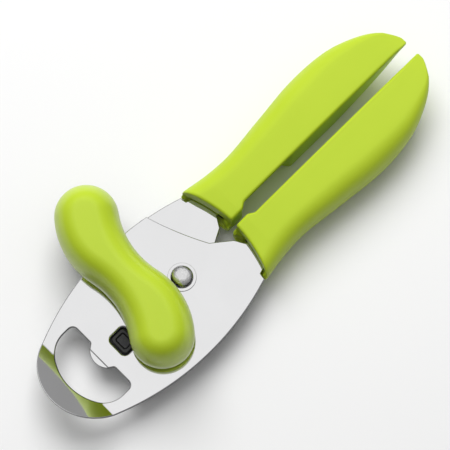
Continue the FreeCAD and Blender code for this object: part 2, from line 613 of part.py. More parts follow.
def grip_parts(side, name, plate_top):
    """A moulded grip, the dark core inside it and the pins that hold the plate's tang."""
    grip = Piece(name + "_grip")
    grip.loft("AdditiveLoft", grip_sections(grip, side, GRIP_STATIONS))
    flip = "" if side > 0 else "-"

    def block(y_low, y_high, x_low, x_high):
        return [(x_low, flip + y_low), (x_high, flip + y_low), (x_high, flip + y_high),
                (x_low, flip + y_high)]

    grip.pad(grip.polygon(block("pad_face", "(grip_inner + pad_root)", "grip_mouth", "pad_end"),
                          height="-pad_drop"), "pad_drop + pad_rise")
    grip.pocket(grip.polygon(block("0", "(grip_inner + recess_deep)", "pad_end", "recess_end"),
                             height="-2 * grip_bottom"), "2 * grip_bottom + grip_top - recess_lip")
    front = [("grip_mouth - mouth_cut", "0"), ("mouth_inner_x", "0"),
             ("mouth_inner_x", flip + "pad_face"), ("mouth_outer_x", flip + "grip_half_width"),
             ("grip_mouth - mouth_cut", flip + "grip_half_width")]
    cavity = core_changes(0.0, plate_top)
    sections = grip_sections(grip, side, GRIP_STATIONS[:CAVITY_STATIONS], **cavity)
    grip.loft("SubtractiveLoft", sections)
    grip.pocket(grip.polygon(front, height="-2 * grip_bottom"), "4 * grip_bottom")
    # Above its plate the mouth is arched back, out of the knob's way.
    ahead, wide = num("grip_mouth - mouth_cut"), side * num("grip_half_width")
    arch = [(num("brow_inner_x"), 0.0), (num("brow_middle_x"), wide / 2), (num("brow_outer_x"), wide)]
    brow = [tuple(arch), *lines_through([arch[2], (ahead, wide), (ahead, 0.0), arch[0]])]
    grip.pocket(grip.outline([brow], height=plate_top), "4 * grip_bottom")
    under = [("0", "0"), ("grip_end", "0"), ("grip_end", flip + "2 * grip_half_width"),
             ("0", flip + "2 * grip_half_width")]
    grip.pocket(grip.polygon(under, height="-2 * grip_bottom"), "grip_bottom + rest_flat")

    core = Piece(name + "_grip_core")
    core.loft("AdditiveLoft", grip_sections(core, side, GRIP_STATIONS[:CAVITY_STATIONS],
                                            **core_changes(num("seat_gap"), plate_top)))
    setback = [(x if "mouth_" not in x else x + " + core_setback", y) for x, y in front]
    core.pocket(core.polygon(setback, height="-2 * grip_bottom"), "4 * grip_bottom")
    neck = neck_points(side)
    tang = [*lines_through(neck), (neck[-1], neck[0])]
    slot = core.outline([tang], height="(%s) - plate_thick - seat_gap" % plate_top)
    core.pocket(slot, "plate_thick + 2 * seat_gap")
    core.pocket(core.circles(pin_holes(side), height="-2 * core_down"), "4 * core_down")


def tang_pins(side, name, plate_top):
    """Steel pins through a grip's core and the plate's tang, kept together as one sub-part."""
    pins = []
    for place in pin_places(side):
        pin = doc.addObject("Part::Cylinder", "Pin")
        pin.setExpression("Radius", bound("pin_radius"))
        pin.setExpression("Height", bound("core_down + %s + core_up - 2 * pin_short" % plate_top))
        for axis, offset, start in zip("xyz", place + ("pin_short - core_down",), ORIGIN):
            pin.setExpression("Placement.Base." + axis, bound("%s + %s" % (start, offset)))
        pins.append(pin)
    group = doc.addObject("Part::Compound", name + "_tang_pins")
    group.Label = name + "_tang_pins"
    group.Links = pins


front_plate()
rear_plate()
pivot_parts()
cutter_parts()
feed_parts()
shaft_parts()
knob_parts()
magnet_parts()
for side, name, plate_top in ((-1, "right", "0"), (1, "left", REAR_TOP)):
    grip_parts(side, name, plate_top)
    tang_pins(side, name, plate_top)

doc.recompute()
parts = [item for item in doc.Objects if item.TypeId in ("PartDesign::Body", "Part::Compound")]
for item in doc.Objects:
    if "Invalid" in item.State or "Error" in item.State:
        raise ValueError("%s failed" % item.Label)
for item in parts:
    if item.Shape.isNull() or not item.Shape.isValid():
        raise ValueError("%s has no valid shape" % item.Label)
os.makedirs("parts", exist_ok=True)
for item in parts:
    item.Shape.exportStep("parts/%s.step" % item.Label)
    box = item.Shape.optimalBoundingBox()
    print("%-20s solids %d volume %9.1f  x %.2f %.2f  y %.2f %.2f  z %.2f %.2f" % (
        item.Label, len(item.Shape.Solids), item.Shape.Volume, box.XMin, box.XMax, box.YMin,
        box.YMax, box.ZMin, box.ZMax))
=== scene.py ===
import json
import math

import bmesh
import bpy
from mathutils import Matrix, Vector
from mathutils.geometry import delaunay_2d_cdt


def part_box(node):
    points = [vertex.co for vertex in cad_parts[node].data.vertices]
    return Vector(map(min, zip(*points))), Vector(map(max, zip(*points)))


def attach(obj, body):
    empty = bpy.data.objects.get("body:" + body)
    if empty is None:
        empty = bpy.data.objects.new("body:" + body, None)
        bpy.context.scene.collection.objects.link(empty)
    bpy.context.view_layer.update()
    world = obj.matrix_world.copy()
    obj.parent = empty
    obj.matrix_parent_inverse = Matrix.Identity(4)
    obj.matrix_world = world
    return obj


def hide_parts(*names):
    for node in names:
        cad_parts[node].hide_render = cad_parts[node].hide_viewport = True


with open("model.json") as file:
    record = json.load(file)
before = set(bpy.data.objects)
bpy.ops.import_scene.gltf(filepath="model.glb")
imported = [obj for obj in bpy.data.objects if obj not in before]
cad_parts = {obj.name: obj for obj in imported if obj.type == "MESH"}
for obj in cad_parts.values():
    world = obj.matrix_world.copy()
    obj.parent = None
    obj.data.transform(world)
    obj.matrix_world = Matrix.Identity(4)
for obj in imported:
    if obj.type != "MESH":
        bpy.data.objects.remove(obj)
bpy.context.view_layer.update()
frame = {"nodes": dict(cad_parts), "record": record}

# Shapes are written in millimetres from the pivot's axis and the front plate's top face, with +X
# towards the grips, and at() takes them to the row's frame in metres.
MM = 0.001


def middle(node):
    low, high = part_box(node)
    return (low + high) / 2


PLATE_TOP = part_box("pivot_washer")[0].z
PIVOT = middle("pivot_rivet")
BODY_OF = {node: body for body, nodes in frame["record"]["behaviour"]["bodies"].items()
           for node in nodes}
SLOT_OF = {part["node"]: part["material_slot"] for part in frame["record"]["subparts"]}


def at(x, y, z=0.0):
    return Vector((PIVOT.x + x * MM, PIVOT.y + y * MM, PLATE_TOP + z * MM))


def level(height):
    """A height in the row's frame, in millimetres above the front plate's top face."""
    return (height - PLATE_TOP) / MM


def place_of(node):
    """The plan position of a round node's axis."""
    centre = middle(node)
    return ((centre.x - PIVOT.x) / MM, (centre.y - PIVOT.y) / MM)


SHAFT = place_of("drive_shaft")
CUTTER = place_of("cutter_axle")
PLATE_THICK = 2.0
REAR_TOP = level(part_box("rear_plate")[1].z)
REAR_BOTTOM = level(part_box("rear_plate")[0].z)
REST = level(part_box("left_grip")[0].z)


# ---- finishes -----------------------------------------------------------------------------------

class Amount:
    """A number that varies over a surface. Arithmetic on it adds Math nodes."""

    def __init__(self, finish, socket):
        self.finish = finish
        self.socket = socket

    def math(self, operation, first, second):
        return self.finish.node("Math", {"operation": operation}, {0: first, 1: second})

    def __add__(self, other):
        return self.math("ADD", self, other)

    def __sub__(self, other):
        return self.math("SUBTRACT", self, other)

    def __rsub__(self, other):
        return self.math("SUBTRACT", other, self)

    def __mul__(self, other):
        return self.math("MULTIPLY", self, other)

    __radd__ = __add__
    __rmul__ = __mul__


class Finish:
    """A material's nodes, with one call for any node."""

    def __init__(self, name):
        self.material = bpy.data.materials.new(name)
        self.material.use_nodes = True
        self.tree = self.material.node_tree
        self.tree.nodes.clear()

    def node(self, kind, settings=None, inputs=None, out=0):
        made = self.tree.nodes.new("ShaderNode" + kind)
        for name, value in (settings or {}).items():
            if name == "stops":
                for stop, (position, color) in zip(made.color_ramp.elements, value):
                    stop.position = position
                    stop.color = color
            else:
                setattr(made, name, value)
        for name, value in (inputs or {}).items():
            if isinstance(value, Amount):
                self.tree.links.new(value.socket, made.inputs[name])
            else:
                made.inputs[name].default_value = value
        return Amount(self, made.outputs[out])

    def noise(self, scale, detail=3.0, stretch=(1.0, 1.0, 1.0), distortion=0.0):
        """Noise over the object, with scale in turns per metre."""
        where = self.node("TexCoord", out="Object")
        stretched = self.node("Mapping", None, {"Vector": where, "Scale": stretch})
        return self.node("TexNoise", None, {
            "Vector": stretched, "Scale": scale, "Detail": detail, "Distortion": distortion})

    def band(self, amount, low, high):
        """0 below low, 1 above high and smooth between."""
        return self.node("MapRange", {"interpolation_type": "SMOOTHSTEP"}, {
            "Value": amount, "From Min": low, "From Max": high})

    def blend(self, amount, first, second):
        return self.node("Mix", {"data_type": "RGBA"}, {0: amount, 6: first, 7: second}, out=2)

    def bump(self, height, distance, strength=1.0, below=None):
        inputs = {"Height": height, "Distance": distance, "Strength": strength}
        if below:
            inputs["Normal"] = below
        return self.node("Bump", None, inputs)

    def edge_highlight_mask(self, low, high):
        """1 on outer convex edges, where a lighter colour is painted as a highlight, and 0
        elsewhere.
        """
        return self.band(self.node("NewGeometry", out="Pointiness"), low, high)

    def surface(self, **inputs):
        named = {name.replace("_", " "): value for name, value in inputs.items()}
        shader = self.node("BsdfPrincipled", None, named)
        self.node_output(shader)
        return self.material

    def node_output(self, shader):
        made = self.tree.nodes.new("ShaderNodeOutputMaterial")
        self.tree.links.new(shader.socket, made.inputs["Surface"])


def color(red, green, blue):
    return (red, green, blue, 1.0)


def bright_plate():
    """Polished stainless sheet: a mirror with faint rolling waves, smears and hairlines, and a
    dull, rougher sheared edge all round it, whose near-black colour is painted shade for the dark
    reflections it shows."""
    finish = Finish("bright_plate")
    smears = finish.noise(55.0, 4.0, distortion=0.6)
    waves = finish.noise(38.0, 1.0)
    hairs = finish.noise(900.0, 2.0, (1.0, 0.03, 1.0))
    shear = finish.noise(2400.0, 3.0, (1.0, 1.0, 0.1))
    upright = finish.node("SeparateXYZ", None, {"Vector": finish.node("TexCoord", out="Normal")}, 2)
    edge = 1 - finish.band(upright * upright, 0.10, 0.62)
    face = finish.blend(smears, color(0.80, 0.80, 0.805), color(0.85, 0.85, 0.855))
    # The upright sides' near-black tone is painted shade standing in for dark reflections; their
    # roughness and bump are the real sheared edge.
    cut = finish.blend(shear, color(0.045, 0.045, 0.045), color(0.16, 0.16, 0.16))
    normal = finish.bump(waves * 0.5 + hairs * 0.01 + shear * edge * 0.3, 0.0001, 0.35)
    return finish.surface(Base_Color=finish.blend(edge, face, cut), Metallic=1.0,
                          Roughness=0.03 + smears * 0.04 + edge * 0.25, Normal=normal)


def domed_steel():
    """The rivet's head: polished, but mottled by the press."""
    finish = Finish("domed_steel")
    mottle = finish.noise(620.0, 3.0, distortion=0.8)
    tint = finish.blend(mottle, color(0.62, 0.62, 0.62), color(0.86, 0.86, 0.86))
    return finish.surface(Base_Color=tint, Metallic=1.0, Roughness=0.10 + mottle * 0.14,
                          Normal=finish.bump(mottle, 0.00025, 0.55))


def turned_steel(name, dark, light, rough):
    """Machined steel with fine cutting marks and a little tarnish."""
    finish = Finish(name)
    stain = finish.noise(240.0, 5.0)
    marks = finish.noise(5200.0, 2.0, (1.0, 1.0, 0.15))
    tint = finish.blend(stain, color(*dark), color(*light))
    normal = finish.bump(marks, 0.00002, 0.4)
    return finish.surface(Base_Color=tint, Metallic=1.0, Roughness=rough + stain * 0.14,
                          Normal=normal)


def ground_edge_steel():
    """Hardened wheel steel, ground round and round."""
    finish = Finish("ground_edge_steel")
    grind = finish.noise(2600.0, 3.0, (0.5, 0.5, 6.0))
    stain = finish.noise(180.0, 4.0)
    tint = finish.blend(grind * 0.5 + stain * 0.5, color(0.33, 0.33, 0.34), color(0.62, 0.62, 0.63))
    return finish.surface(Base_Color=tint, Metallic=1.0, Roughness=0.2 + grind * 0.18,
                          Normal=finish.bump(grind, 0.00003, 0.5))


LIME_DEEP = color(0.44, 0.59, 0.020)
LIME_LIGHT = color(0.49, 0.64, 0.030)


def moulded_lime(name, rough, coat, grain):
    """Lime moulded plastic: faint colour drift, a fine mould texture and a painted highlight of
    lighter lime on its edges.
    """
    finish = Finish(name)
    drift = finish.noise(30.0, 3.0)
    texture = finish.noise(3800.0, 3.0)
    flow = finish.noise(160.0, 2.0)
    body = finish.blend(drift, LIME_DEEP, LIME_LIGHT)
    # Convex edges are painted a lighter lime: a painted highlight.
    painted_edge_highlight = finish.edge_highlight_mask(0.53, 0.62)
    tint = finish.blend(painted_edge_highlight * 0.25, body, color(0.60, 0.76, 0.06))
    normal = finish.bump(flow * 0.15, 0.00005, 0.4, finish.bump(texture, grain, 0.35))
    return finish.surface(Base_Color=tint, Roughness=rough + texture * 0.06 + drift * 0.05,
                          Normal=normal, Coat_Weight=coat, Coat_Roughness=0.18, IOR=1.5,
                          Subsurface_Weight=0.05, Subsurface_Radius=(0.002, 0.003, 0.0006))


def black_moulding(name, tone, rough):
    """Black plastic with a fine mould texture and patches of grey dust."""
    finish = Finish(name)
    texture = finish.noise(4200.0, 3.0)
    dust = finish.noise(140.0, 4.0)
    dusty = color(tone * 2.2, tone * 2.2, tone * 2.1)
    tint = finish.blend(dust * 0.5, color(tone, tone, tone), dusty)
    return finish.surface(Base_Color=tint, Roughness=rough + dust * 0.12,
                          Normal=finish.bump(texture, 0.00002, 0.4))


def ferrite():
    """A sintered magnet: dark grey, finely pitted."""
    finish = Finish("ferrite")
    pits = finish.noise(1500.0, 5.0)
    tint = finish.blend(pits, color(0.018, 0.018, 0.02), color(0.07, 0.07, 0.075))
    return finish.surface(Base_Color=tint, Metallic=0.0, Roughness=0.45 + pits * 0.2,
                          Normal=finish.bump(finish.band(pits, 0.35, 0.6), 0.00005, 0.6))


FINISHES = {
    "plated_steel": bright_plate(),
    "domed_steel": domed_steel(),
    "zinc_steel": turned_steel("zinc_steel", (0.42, 0.42, 0.43), (0.68, 0.68, 0.70), 0.22),
    "hard_steel": ground_edge_steel(),
    "green_grip": moulded_lime("grip_lime", 0.40, 0.0, 0.00003),
    "green_knob": moulded_lime("knob_lime", 0.30, 0.25, 0.000015),
    "black_plastic": black_moulding("black_plastic", 0.012, 0.22),
    # The grips' core is lime plastic in shadow; its near-black colour is painted shade.
    "dark_core": black_moulding("dark_core", 0.016, 0.5),
    "magnet": ferrite(),
}


# ---- mesh helpers -------------------------------------------------------------------------------

def keep(name, node, points, faces, flat_sides=False):
    """Makes a piece from points and faces, in place of a CAD node and riding on its body. Large
    flat sides can be kept flat where they meet rounded edges."""
    mesh = bpy.data.meshes.new(name)
    mesh.from_pydata([at(*point) for point in points], [], faces)
    shape = bmesh.new()
    shape.from_mesh(mesh)
    bmesh.ops.remove_doubles(shape, verts=shape.verts, dist=0.002 * MM)
    bmesh.ops.recalc_face_normals(shape, faces=shape.faces)
    for face in shape.faces:
        face.smooth = True
    shape.to_mesh(mesh)
    shape.free()
    piece = bpy.data.objects.new(name, mesh)
    bpy.context.scene.collection.objects.link(piece)
    if flat_sides:
        piece.modifiers.new("flat_sides", "WEIGHTED_NORMAL").keep_sharp = True
    mesh.materials.append(FINISHES[SLOT_OF[node]])
    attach(piece, BODY_OF[node])
    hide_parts(node)
    return piece


def circle_through(first, second, third):
    """The centre of the circle through three points in plan."""
    (ax, ay), (bx, by), (cx, cy) = first, second, third
    twice = 2 * (ax * (by - cy) + bx * (cy - ay) + cx * (ay - by))
    squares = [x * x + y * y for x, y in (first, second, third)]
    return ((squares[0] * (by - cy) + squares[1] * (cy - ay) + squares[2] * (ay - by)) / twice,
            (squares[0] * (cx - bx) + squares[1] * (ax - cx) + squares[2] * (bx - ax)) / twice)


def heading(centre, target):
    """The direction from one point to another in plan, in degrees."""
    return math.degrees(math.atan2(target[1] - centre[1], target[0] - centre[0]))


def arc(centre, radius, start, end, steps):
    """Points round an arc, in degrees, with both ends."""
    turns = [math.radians(start + (end - start) * step / steps) for step in range(steps + 1)]
    return [(centre[0] + radius * math.cos(turn), centre[1] + radius * math.sin(turn))
            for turn in turns]


def arc_through(first, second, third, steps):
    """Points along the arc from first to third by way of second."""
    centre = circle_through(first, second, third)
    start, by_way, end = [heading(centre, point) for point in (first, second, third)]
    sweep = (end - start) % 360
    if (by_way - start) % 360 > sweep:
        sweep -= 360
    return arc(centre, math.dist(centre, first), start, start + sweep, steps)


def tidy_loop(points, counterclockwise=True):
    """Drops repeated points and turns the loop the way that is asked for."""
    loop = [point for index, point in enumerate(points)
            if math.dist(point, points[index - 1]) > 1e-4]
    area = sum(a[0] * b[1] - b[0] * a[1] for a, b in zip(loop, loop[1:] + loop[:1]))
    return loop if (area > 0) == counterclockwise else loop[::-1]


def soften(corners, radius, steps=4):
    """Rounds the corners of a closed outline."""
    loop = []
    for index, corner in enumerate(corners):
        before = Vector(corners[index - 1]) - Vector(corner)
        after = Vector(corners[(index + 1) % len(corners)]) - Vector(corner)
        half = before.angle(after) / 2
        size = radius[index] if isinstance(radius, (list, tuple)) else radius
        reach = min(size / math.tan(half), 0.49 * before.length, 0.49 * after.length)
        if reach < 1e-3 or abs(half - math.pi / 2) < 0.02:
            loop.append(corner)
            continue
        size = reach * math.tan(half)
        bisector = (before.normalized() + after.normalized()).normalized()
        centre = Vector(corner) + bisector * (size / math.sin(half))
        start, end = [Vector(corner) + side.normalized() * reach - centre
                      for side in (before, after)]
        for step in range(steps + 1):
            swung = start.lerp(end, step / steps).normalized() * size
            loop.append((centre.x + swung.x, centre.y + swung.y))
    return loop


def inset_loop(loop, distance):
    """Moves each point of a loop to its left by a distance, along the corner's bisector."""
    moved = []
    for index, (x, y) in enumerate(loop):
        before = (Vector((x, y)) - Vector(loop[index - 1])).normalized()
        after = (Vector(loop[(index + 1) % len(loop)]) - Vector((x, y))).normalized()
        left = Vector((-before.y - after.y, before.x + after.x)).normalized()
        square = max(0.4, left.dot(Vector((-before.y, before.x))))
        moved.append((x + left.x * distance / square, y + left.y * distance / square))
    return moved


def inside(point, loop):
    """Whether a point lies within a closed outline."""
    crossings = 0
    for (ax, ay), (bx, by) in zip(loop, loop[1:] + loop[:1]):
        if (ay > point[1]) != (by > point[1]):
            crossings += point[0] < ax + (bx - ax) * (point[1] - ay) / (by - ay)
    return crossings % 2 == 1


def slab(outer, holes, bottom, top, edge, rolled=None, steps=5):
    """A flat plate with rounded edges, as points and faces. A hole named in rolled, by its place
    in the list, has its own larger radius on top."""
    loops = [tidy_loop(outer)] + [tidy_loop(hole, False) for hole in holes]
    quarter = [math.pi / 2 * step / steps for step in range(steps + 1)]
    points, faces = [], []
    rims = []
    for place, loop in enumerate(loops, start=-1):
        roll = (rolled or {}).get(place, edge)
        sides = [(roll * (1 - math.sin(turn)), top - roll * (1 - math.cos(turn)))
                 for turn in quarter]
        sides += [(edge * (1 - math.cos(turn)), bottom + edge * (1 - math.sin(turn)))
                  for turn in quarter]
        starts = []
        for inset, height in sides:
            starts.append(len(points))
            points += [(x, y, height) for x, y in inset_loop(loop, inset)]
        count = len(loop)
        for high, low in zip(starts, starts[1:]):
            for index in range(count):
                after = (index + 1) % count
                faces.append((high + index, high + after, low + after, low + index))
        rims.append((starts[0], starts[-1], count))
    for end in (0, 1):
        rings = [range(rim[end], rim[end] + rim[2]) for rim in rims]
        plans = [[points[number][:2] for number in ring] for ring in rings]
        numbers = [number for ring in rings for number in ring]
        edges, first = [], 0
        for ring in rings:
            edges += [(first + index, first + (index + 1) % len(ring))
                      for index in range(len(ring))]
            first += len(ring)
        flat = [Vector(points[number][:2]) for number in numbers]
        placed, _, triangles, came_from, _, _ = delaunay_2d_cdt(flat, edges, [], 1, 1e-6)
        for triangle in triangles:
            centre = sum((placed[corner] for corner in triangle), Vector((0, 0))) / 3
            if inside(centre, plans[0]) and not any(inside(centre, hole) for hole in plans[1:]):
                faces.append(tuple(numbers[came_from[corner][0]] for corner in triangle))
    return points, faces


def loft(rings, close_start=True, close_end=True):
    """Faces through rings of equally many points, with a flat or fanned end at each end."""
    count = len(rings[0])
    points = [point for ring in rings for point in ring]
    faces = []
    for ring in range(len(rings) - 1):
        for index in range(count):
            after = (index + 1) % count
            faces.append((ring * count + index, ring * count + after,
                          (ring + 1) * count + after, (ring + 1) * count + index))
    if close_start:
        faces.append(tuple(reversed(range(count))))
    if close_end:
        faces.append(tuple((len(rings) - 1) * count + index for index in range(count)))
    return points, faces


def lathe(profile, centre, steps=72):
    """Turns a closed (radius, height) outline about a vertical axis."""
    points, faces = [], []
    for step in range(steps):
        turn = 2 * math.pi * step / steps
        points += [(centre[0] + radius * math.cos(turn),
                    centre[1] + radius * math.sin(turn), height) for radius, height in profile]
    count = len(profile)
    for step in range(steps):
        here, there = step * count, (step + 1) % steps * count
        for index in range(count):
            after = (index + 1) % count
            if profile[index][0] < 1e-6 and profile[after][0] < 1e-6:
                continue
            corners = [here + index, there + index, there + after, here + after]
            if profile[index][0] < 1e-6:
                corners.remove(there + index)
            if profile[after][0] < 1e-6:
                corners.remove(there + after)
            faces.append(tuple(corners))
    return points, faces


# ---- plates -------------------------------------------------------------------------------------

WIDEST_BACK, HALF_WIDTH, SIDE_RADIUS, NOSE_RADIUS = 12.7, 29.3, 116.0, 22.0
NOSE_BACK = WIDEST_BACK + math.sqrt((SIDE_RADIUS - NOSE_RADIUS) ** 2
                                    - (SIDE_RADIUS - HALF_WIDTH) ** 2)
CREASE, BEND_RADIUS, TIP_RISE = -56.5, 3.0, 31.5
MOUTH_INNER, MOUTH_OUTER, GRIP_HALF_WIDTH = 27.2, 22.6, 26.0
TANG_INNER, TANG_OUTER, TANG_END = 8.2, 18.6, 63.0
PLATE_EDGE = 0.5


def side_y(x):
    return HALF_WIDTH - SIDE_RADIUS + math.sqrt(SIDE_RADIUS ** 2 - (x + WIDEST_BACK) ** 2)


def neck(side):
    """Where a plate narrows into its grip, from its outer edge to its tang and back."""
    start = 22.7
    points = [(start, side_y(start)), (start + 0.5, side_y(start) - 2.6),
              (MOUTH_INNER + 6.0, TANG_OUTER), (TANG_END, TANG_OUTER), (TANG_END, TANG_INNER),
              (MOUTH_INNER + 0.6, TANG_INNER), (MOUTH_INNER - 2.0, 3.9)]
    return [(x, side * y) for x, y in points]


def front_outline():
    nose_centre = (-NOSE_BACK, 0.0)
    lean = math.degrees(math.asin((NOSE_BACK - WIDEST_BACK) / (SIDE_RADIUS - NOSE_RADIUS)))
    nose = arc(nose_centre, NOSE_RADIUS, 90 + lean, 270 - lean, 56)
    top_corner = (7.2, side_y(7.2))
    middle_x = (nose[0][0] + top_corner[0]) / 2
    upper = arc_through(top_corner, (middle_x, side_y(middle_x)), nose[0], 24)
    shoulder = neck(-1)
    low_x = (nose[-1][0] + shoulder[0][0]) / 2
    lower = arc_through(nose[-1], (low_x, -side_y(low_x)), shoulder[0], 30)
    step_edge = arc_through((17.5, 2.2), (11.3, 15.6), top_corner, 16)
    return upper + nose + lower + shoulder[1:] + step_edge[:-1]


def cap_opening():
    """The bottle opening: a wide arc towards the tip, a flat near side and its lip's root."""
    half, far, near, radius, corner, small = 17.0, -62.0, -44.0, 22.0, 11.0, 2.4
    lip, root = 5.2, -46.2
    run = math.sqrt((radius - corner) ** 2 - (half - corner) ** 2)
    lean = math.degrees(math.atan2(half - corner, -run))
    corner_centre = (far + radius - run, half - corner)
    upper = arc(corner_centre, corner, lean, 90, 10)
    upper += arc((near - small, half - small), small, 90, 0, 6)
    upper += soften([(near, half - small), (near, lip + 1.6), (root, lip)], [0.0, 1.2, 0.0])[1:-1]
    far_edge = arc((far + radius, 0.0), radius, lean, 360 - lean, 40)
    lower = [(x, -y) for x, y in upper]
    return upper + [(root, lip), (root, -lip)] + lower[::-1] + far_edge[::-1][1:-1]


def lip_tab():
    """The lip that catches a bottle cap, set a little below the plate's face."""
    half, root, reach, drop = 5.2, -46.2, 2.2, 0.8
    outline = arc_through((root, half), (root - reach, 0.0), (root, -half), 20)
    outline += [(root + 0.6, -half), (root + 0.6, half)]
    return slab(outline, [], -PLATE_THICK, -drop, 0.3)


def bent(point):
    """Takes a point of the flat plate to its place past the tip's crease, with upright walls."""
    x, y, z = point
    past = CREASE - x
    if past <= 0:
        return point
    rise = math.radians(TIP_RISE)
    turn = min(past / BEND_RADIUS, rise)
    straight = max(0.0, past - BEND_RADIUS * rise)
    return (CREASE - BEND_RADIUS * math.sin(turn) - straight * math.cos(rise), y,
            BEND_RADIUS * (1 - math.cos(turn)) + straight * math.sin(rise) + z / math.cos(turn))


def unbent_x(x):
    """How far along the flat plate a point on the bent tip comes from."""
    past = CREASE - x
    if past <= 0:
        return x
    rise = math.radians(TIP_RISE)
    bend_end = BEND_RADIUS * math.sin(rise)
    if past < bend_end:
        return CREASE - BEND_RADIUS * math.asin(past / BEND_RADIUS)
    return CREASE - BEND_RADIUS * rise - (past - bend_end) / math.cos(rise)


def flattened(loop):
    return [(unbent_x(x), y) for x, y in loop]


def cut_across(points, faces, stations):
    """Splits a flat shape along lines of constant x, so that it can bend there."""
    mesh = bpy.data.meshes.new("cut")
    mesh.from_pydata(points, [], faces)
    shape = bmesh.new()
    shape.from_mesh(mesh)
    for station in stations:
        everything = shape.verts[:] + shape.edges[:] + shape.faces[:]
        bmesh.ops.bisect_plane(shape, geom=everything, plane_co=(station, 0, 0),
                               plane_no=(1, 0, 0), dist=1e-5)
    shape.verts.ensure_lookup_table()
    cut_points = [tuple(vertex.co) for vertex in shape.verts]
    cut_faces = [tuple(vertex.index for vertex in face.verts) for face in shape.faces]
    shape.free()
    bpy.data.meshes.remove(mesh)
    return cut_points, cut_faces


def holder_window(grow, corner):
    """A rounded rectangle about the lid magnet's place."""
    centre = place_of("lid_magnet")
    width, length = 7.4 / 2 + grow, 8.8 / 2 + grow
    corners = [(centre[0] + x * width, centre[1] + y * length)
               for x, y in ((-1, -1), (1, -1), (1, 1), (-1, 1))]
    return soften(corners, corner, 6)


def front_plate():
    holes = [flattened(cap_opening()), holder_window(0.15, 1.7),
             arc(SHAFT, 4.7, 0, 350, 35), arc((0, 0), 3.06, 0, 350, 35)]
    window, window_roll = 1, 1.25
    points, faces = slab(flattened(front_outline()), holes, -PLATE_THICK, 0.0, PLATE_EDGE,
                         {window: window_roll})
    bend = [CREASE - BEND_RADIUS * math.radians(TIP_RISE) * step / 6 for step in range(7)]
    points, faces = cut_across(points, faces, bend)
    tab_points, tab_faces = lip_tab()
    faces += [tuple(corner + len(points) for corner in face) for face in tab_faces]
    keep("front_plate_sheet", "front_plate", [bent(point) for point in points + tab_points],
         faces, flat_sides=True)


def rear_plate():
    """A boss at the pivot, an arm out to the cutting wheel and a wing that runs into the grip."""
    boss, arm, clear, open_limit = 13.0, 7.0, 4.85, 37.0
    to_arm = heading((0, 0), CUTTER) % 360
    spread = math.degrees(math.asin(arm / boss))
    stop = heading((0, 0), SHAFT) - open_limit
    along = (math.cos(math.radians(stop)), math.sin(math.radians(stop)))
    across = (along[1], -along[0])
    centre = (-WIDEST_BACK, HALF_WIDTH - SIDE_RADIUS)
    base = (clear * across[0] - centre[0], clear * across[1] - centre[1])
    run = base[0] * along[0] + base[1] * along[1]
    reach = math.sqrt(run ** 2 - base[0] ** 2 - base[1] ** 2 + SIDE_RADIUS ** 2) - run
    corner = (clear * across[0] + reach * along[0], clear * across[1] + reach * along[1])
    leave = stop - math.degrees(math.asin(clear / boss))
    into_grip = neck(1)
    half_way = (corner[0] + into_grip[0][0]) / 2
    outline = arc_through(into_grip[0], (half_way, side_y(half_way)), corner, 24)
    outline += arc((0, 0), boss, leave, to_arm - spread, 12)
    outline += arc(CUTTER, arm, to_arm - 90, to_arm + 90, 24)
    outline += arc((0, 0), boss, to_arm + spread, 340, 20)
    outline += [(19.6, 0.9)] + into_grip[::-1]
    holes = [arc((0, 0), 3.08, 0, 350, 35), arc(CUTTER, 2.06, 0, 350, 35)]
    points, faces = slab(outline, holes, REAR_BOTTOM, REAR_TOP, PLATE_EDGE)
    keep("rear_plate_sheet", "rear_plate", points, faces, flat_sides=True)


# ---- pivot --------------------------------------------------------------------------------------

def pivot_rivet():
    """A rivet with a low domed head, a little uneven from the press."""
    low, high = [level(corner.z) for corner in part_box("pivot_rivet")]
    ring_bottom = level(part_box("pivot_tail_washer")[0].z)
    ring_top = level(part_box("pivot_washer")[1].z)
    head, shank, brim = 4.6, 3.0, 0.35
    rise = high - ring_top - brim
    dome = [(head * math.cos(turn), ring_top + brim + rise * math.sin(turn))
            for turn in [math.pi / 2 * step / 14 for step in range(15)]]
    dome[-1] = (0.0, high)
    tail = [(0.0, low), (head - 0.5, low), (head, low + 0.5), (head, ring_bottom),
            (shank, ring_bottom), (shank, ring_top), (head - 0.12, ring_top)]
    points, faces = lathe(tail + dome, (0, 0))
    rivet = keep("pivot_rivet_head", "pivot_rivet", points, faces, flat_sides=True)
    rivet.data.materials[0] = FINISHES["domed_steel"]


def ring(name, node, inner, outer, edge=0.15):
    low, high = [level(corner.z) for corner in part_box(node)]
    corners = [(inner, low), (outer, low), (outer, high), (inner, high)]
    points, faces = lathe(soften(corners, edge, 3), place_of(node))
    keep(name, node, points, faces, flat_sides=True)


# ---- wheels under the plates --------------------------------------------------------------------

def cutting_wheel():
    low, high = [level(corner.z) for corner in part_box("cutting_wheel")]
    bore, face, rim, hub = 2.55, 7.5, 10.0, 5.0
    profile = [(bore, low), (face, low), (rim - 0.05, low + 0.66), (rim, low + 0.72),
               (rim - 0.07, low + 0.78), (hub + 0.4, low + 2.45), (hub, low + 2.7),
               (hub, high - 0.2), (hub - 0.2, high), (bore, high)]
    points, faces = lathe(profile, CUTTER, 96)
    keep("cutting_wheel_disc", "cutting_wheel", points, faces, flat_sides=True)


def cutter_axle():
    low, high = [level(corner.z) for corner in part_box("cutter_axle")]
    head_top = level(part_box("cutting_wheel")[0].z) - 0.05
    head, shank, seat = 4.4, 2.5, 2.0
    profile = [(0.0, low), (1.6, low), (1.9, low + 0.25), (head - 0.9, low + 0.12)]
    profile += [(head - 0.8 * (1 - math.sin(turn)), low + 0.9 - 0.8 * math.cos(turn))
                for turn in [math.pi / 2 * step / 5 for step in range(1, 6)]]
    profile += [(head, head_top - 0.2), (head - 0.2, head_top), (shank, head_top),
                (shank, REAR_BOTTOM), (seat, REAR_BOTTOM), (seat, high - 0.2), (seat - 0.2, high),
                (0.0, high)]
    points, faces = lathe(profile, CUTTER)
    keep("cutter_axle_stud", "cutter_axle", points, faces, flat_sides=True)


